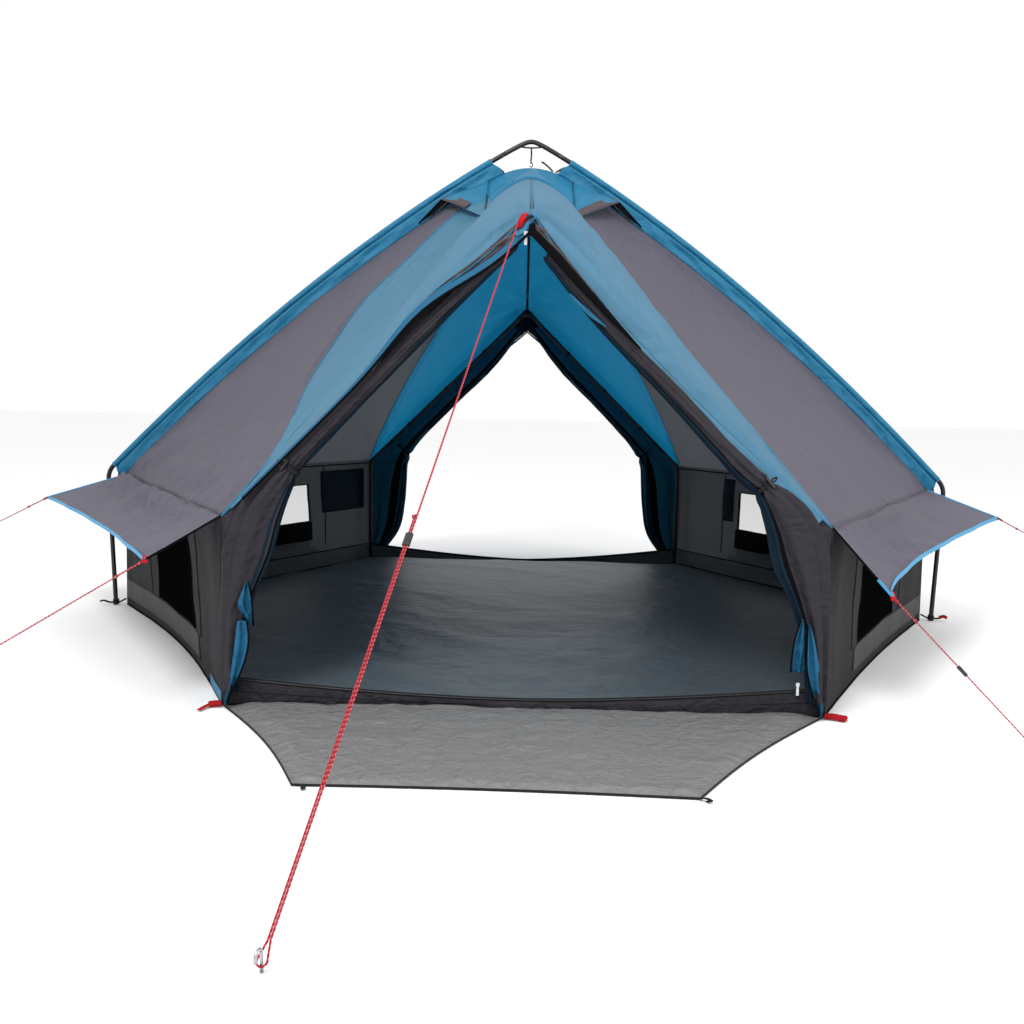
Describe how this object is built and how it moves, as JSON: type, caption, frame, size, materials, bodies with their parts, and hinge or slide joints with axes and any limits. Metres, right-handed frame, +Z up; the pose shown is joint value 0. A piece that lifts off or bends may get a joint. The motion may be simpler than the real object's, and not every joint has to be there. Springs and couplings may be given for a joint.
{
  "type": "tent",
  "caption": "Hexagonal family tipi tent with an outside tube hoop, two open gable doors with rolled panels, two side awnings, two roof vents and guy ropes.",
  "frame": {"origin": "on the ground under the crown, at the middle of the groundsheet", "axes": "+X to the right through a middle corner, -Y out of the front door, +Z up"},
  "size_m": [6.1907, 5.3087, 2.2791],
  "materials": {
    "tube": "satin black paint on steel tube",
    "black_webbing": "woven webbing",
    "floor_fabric": "woven coated polyethylene, slight sheen",
    "wall_fabric": "coated polyester, matte",
    "roof_fabric": "coated polyester, matte",
    "canopy_fabric": "coated polyester, slight sheen",
    "blue_fabric": "coated polyester, slight sheen",
    "door_fabric": "coated polyester, rolled",
    "navy_mesh": "fine mesh, rolled",
    "apron_fabric": "woven coated polyethylene",
    "black_plastic": "moulded",
    "zip_metal": "plated",
    "red_rope": "braided cord",
    "peg_steel": "galvanised"
  },
  "bodies": {
    "shell": {"mid_leg_left": "tube", "mid_leg_right": "tube", "mid_rafter_left": "tube", "mid_rafter_right": "tube", "mid_apex_bend": "tube", "front_leg_left": "tube", "front_rafter_left": "tube", "front_leg_right": "tube", "front_rafter_right": "tube", "front_apex_bend": "tube", "back_leg_left": "tube", "back_rafter_left": "tube", "back_leg_right": "tube", "back_rafter_right": "tube", "back_apex_bend": "tube", "crown_hanger": "black_webbing", "groundsheet": "floor_fabric", "sill_front": "wall_fabric", "sill_back": "wall_fabric", "wall_front_left": "wall_fabric", "roof_front_left": "roof_fabric", "canopy_front_left": "canopy_fabric", "door_roll_front_left": "door_fabric", "wall_front_right": "wall_fabric", "roof_front_right": "roof_fabric", "canopy_front_right": "canopy_fabric", "door_roll_front_right": "door_fabric", "wall_back_left": "wall_fabric", "roof_back_left": "roof_fabric", "canopy_back_left": "canopy_fabric", "door_roll_back_left": "navy_mesh", "wall_back_right": "wall_fabric", "roof_back_right": "roof_fabric", "canopy_back_right": "canopy_fabric", "door_roll_back_right": "navy_mesh", "crown_cap": "blue_fabric", "apron": "apron_fabric", "ridge_sleeve_left": "blue_fabric", "awning_left": "roof_fabric", "ridge_sleeve_right": "blue_fabric", "awning_right": "roof_fabric", "main_rope": "red_rope", "main_peg": "peg_steel", "near_left_rope": "red_rope", "near_left_peg": "peg_steel", "near_right_rope": "red_rope", "near_right_peg": "peg_steel", "far_left_rope": "red_rope", "far_left_peg": "peg_steel", "far_right_rope": "red_rope", "far_right_peg": "peg_steel"},
    "vent_hood_left": {"vent_hood_left": "blue_fabric"},
    "vent_prop_left": {"vent_prop_left": "black_plastic"},
    "vent_hood_right": {"vent_hood_right": "blue_fabric"},
    "vent_prop_right": {"vent_prop_right": "black_plastic"},
    "zip_pull_top": {"zip_pull_top": "zip_metal"},
    "zip_pull_sill": {"zip_pull_sill": "zip_metal"},
    "main_rope_slider": {"main_rope_slider": "black_plastic"},
    "near_right_rope_slider": {"near_right_rope_slider": "black_plastic"}
  },
  "joints": [
    {"name": "vent_hood_left_hinge", "type": "hinge", "parent": "shell", "child": "vent_hood_left", "pos_m": [-0.20793, -0.35264, 1.85058], "axis": [-0.0047, -0.8298, -0.558], "range_deg": [0, 10]},
    {"name": "vent_prop_left_hinge", "type": "hinge", "parent": "vent_hood_left", "child": "vent_prop_left", "pos_m": [-0.38833, -0.07156, 1.97174], "axis": [0.0047, 0.8298, 0.558], "range_deg": [0, 27.5]},
    {"name": "vent_hood_right_hinge", "type": "hinge", "parent": "shell", "child": "vent_hood_right", "pos_m": [0.20793, -0.35264, 1.85058], "axis": [-0.0047, 0.8298, 0.558], "range_deg": [0, 10]},
    {"name": "vent_prop_right_hinge", "type": "hinge", "parent": "vent_hood_right", "child": "vent_prop_right", "pos_m": [0.38833, -0.07156, 1.97174], "axis": [0.0047, -0.8298, -0.558], "range_deg": [0, 27.5]},
    {"name": "zip_pull_top_swing", "type": "hinge", "parent": "shell", "child": "zip_pull_top", "pos_m": [-0.02, -1.775, 1.575], "axis": [1, 0, 0], "range_deg": [-75, 60]},
    {"name": "zip_pull_sill_swing", "type": "hinge", "parent": "shell", "child": "zip_pull_sill", "pos_m": [0.915, -1.765, 0.118], "axis": [1, 0, 0], "range_deg": [-80, 5]},
    {"name": "main_rope_slider_slide", "type": "slide", "parent": "shell", "child": "main_rope_slider", "axis": [-0.181, -0.7149, -0.6754], "range_m": [-0.03, 0.3]},
    {"name": "near_right_rope_slider_slide", "type": "slide", "parent": "shell", "child": "near_right_rope_slider", "axis": [0.6275, -0.3515, -0.6947], "range_m": [-0.12, 0.18]}
  ],
  "couplings": [
    {"joint": "vent_prop_left_hinge", "follows": "vent_hood_left_hinge", "ratio": 2.7},
    {"joint": "vent_prop_right_hinge", "follows": "vent_hood_right_hinge", "ratio": 2.7}
  ]
}
